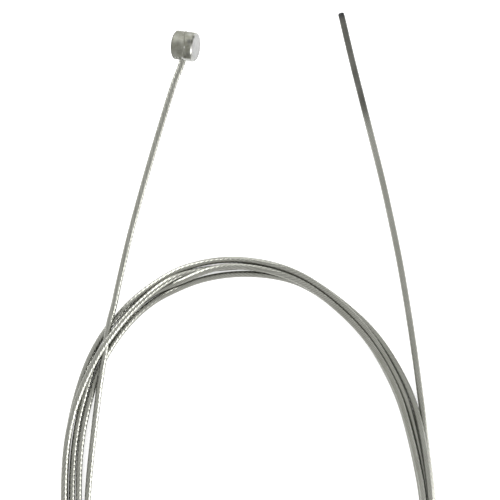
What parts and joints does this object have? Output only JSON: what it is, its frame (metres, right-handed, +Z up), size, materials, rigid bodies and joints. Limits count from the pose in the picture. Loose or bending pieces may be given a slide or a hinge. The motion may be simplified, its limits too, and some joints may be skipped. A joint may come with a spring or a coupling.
{
  "type": "bicycle brake cable",
  "caption": "Inner wire of a bicycle brake: a stranded steel cable with a cast barrel at one end and a bare, fused end, lying in a flat oval coil.",
  "frame": {"origin": "on the ground under the middle of the whole cable as it lies", "axes": "+Z up from the ground; +Y along the long side of the coil, towards the barrel and the free end; +X to the right as seen from above, towards the free end"},
  "size_m": [0.094, 0.1926, 0.0079],
  "materials": {
    "strand_steel": "bright drawn wires, twisted, with a slight olive tone",
    "cast_zinc": "matt, mottled, as cast in zinc"
  },
  "bodies": {
    "root": {"barrel_end": "cast_zinc", "head_wire": "strand_steel", "wire_coil": "strand_steel", "tail_wire": "strand_steel"}
  },
  "joints": []
}
